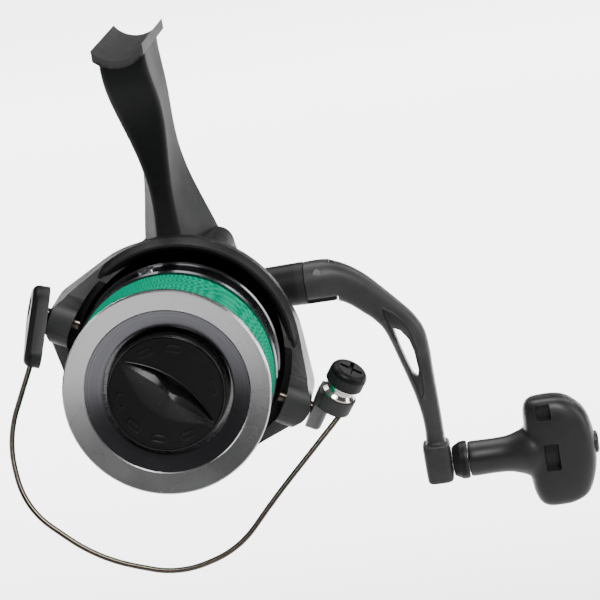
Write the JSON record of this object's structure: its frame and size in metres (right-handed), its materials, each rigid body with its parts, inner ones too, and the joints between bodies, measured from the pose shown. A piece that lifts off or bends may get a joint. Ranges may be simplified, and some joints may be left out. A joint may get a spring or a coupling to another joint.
{
  "type": "spinning reel",
  "caption": "Spinning fishing reel with a front-drag spool full of teal braid, rotor with wire bail, folding handle and T-shaped power knob",
  "frame": {"origin": "centre of the reel foot, on the axis of the rod it is clamped to", "axes": "+Y along the rod away from its tip, +Z from the reel up to the rod, +X to the handle side; the spool faces -Y"},
  "size_m": [0.2105, 0.1526, 0.2093],
  "materials": {
    "satin_black": "satin",
    "gloss_black": "gloss",
    "anodised_silver": "satin",
    "steel": "satin",
    "bearing_steel": "gloss",
    "gunmetal": "gloss",
    "brass": "satin",
    "gear_alloy": "satin",
    "line_teal": "matte",
    "felt": "matte",
    "rubber": "matte",
    "black_plastic": "matte"
  },
  "bodies": {
    "housing": {"body_housing": "satin_black", "side_cover": "satin_black", "rear_cover": "satin_black", "shaft_cap": "gloss_black", "cover_screws": "steel", "drive_bearing_left": "bearing_steel", "drive_bearing_right": "bearing_steel", "pinion_bearing_front": "bearing_steel", "pinion_bearing_rear": "bearing_steel", "one_way_clutch": "bearing_steel", "clutch_retainer": "steel", "guide_rods": "steel", "worm_bushes": "brass"},
    "crank": {"drive_gear": "gear_alloy", "handle_shank": "satin_black", "fold_pin": "steel"},
    "handle": {"handle_arm": "satin_black", "knob_spindle": "steel"},
    "knob": {"handle_knob": "black_plastic", "knob_bearings": "bearing_steel", "knob_collar": "satin_black", "knob_cap": "gloss_black"},
    "rotor_body": {"rotor": "gloss_black", "pinion_gear": "brass", "rotor_nut": "brass", "nut_lock_plate": "steel", "arm_cover_right": "satin_black", "arm_cover_left": "satin_black", "bail_spring": "steel"},
    "bail": {"bail_arm": "satin_black", "bail_lever": "satin_black", "bail_wire": "gunmetal", "bail_pivot_screws": "gunmetal", "roller_cap": "satin_black", "roller_bearing": "black_plastic"},
    "roller": {"line_roller": "anodised_silver"},
    "worm": {"worm_shaft": "steel", "worm_gear": "black_plastic"},
    "shaft": {"main_shaft": "steel", "oscillation_slider": "gear_alloy", "slider_screw": "steel"},
    "spool": {"spool_body": "gloss_black", "spool_lip": "anodised_silver", "fishing_line": "line_teal", "line_clip": "anodised_silver", "click_gear": "black_plastic", "drag_discs_felt": "felt", "drag_discs_steel": "steel", "drag_retainer": "steel"},
    "drag": {"drag_knob": "satin_black", "drag_nut": "brass", "drag_seal": "rubber"},
    "stopper": {"anti_reverse_lever": "black_plastic"}
  },
  "joints": [
    {"name": "crank_turn", "type": "hinge", "parent": "housing", "child": "crank", "pos_m": [0, 0.042, -0.1153], "axis": [1, 0, 0], "continuous": true},
    {"name": "rotor_spin", "type": "hinge", "parent": "housing", "child": "rotor_body", "pos_m": [0, 0, -0.1265], "axis": [0, 1, 0], "continuous": true},
    {"name": "worm_spin", "type": "hinge", "parent": "housing", "child": "worm", "pos_m": [0.007, 0.042, -0.13722], "axis": [0, 1, 0], "continuous": true},
    {"name": "spool_stroke", "type": "slide", "parent": "housing", "child": "shaft", "axis": [0, 1, 0], "range_m": [0, 0.024]},
    {"name": "spool_slip", "type": "hinge", "parent": "shaft", "child": "spool", "pos_m": [0, -0.04, -0.1265], "axis": [0, 1, 0], "continuous": true},
    {"name": "drag_turn", "type": "hinge", "parent": "shaft", "child": "drag", "pos_m": [0, -0.055, -0.1265], "axis": [0, 1, 0], "continuous": true},
    {"name": "bail_flip", "type": "hinge", "parent": "rotor_body", "child": "bail", "pos_m": [0, -0.01, -0.1265], "axis": [-0.8796, 0, 0.4756], "range_deg": [0, 95]},
    {"name": "roller_spin", "type": "hinge", "parent": "bail", "child": "roller", "pos_m": [0.05859, -0.028, -0.14113], "axis": [0.5423, -0.2813, 0.7917], "continuous": true},
    {"name": "handle_fold", "type": "hinge", "parent": "crank", "child": "handle", "pos_m": [0.0514, 0.042, -0.1109], "axis": [0, -1, 0], "range_deg": [0, 90]},
    {"name": "knob_spin", "type": "hinge", "parent": "handle", "child": "knob", "pos_m": [0.11, 0.042, -0.1933], "axis": [1, 0, 0], "continuous": true},
    {"name": "anti_reverse", "type": "hinge", "parent": "housing", "child": "stopper", "pos_m": [-0.004, 0.034, -0.153], "axis": [0, 0, 1], "range_deg": [0, 30]}
  ],
  "couplings": [
    {"joint": "rotor_spin", "follows": "crank_turn", "ratio": -4.8},
    {"joint": "worm_spin", "follows": "crank_turn", "ratio": 2.88}
  ]
}
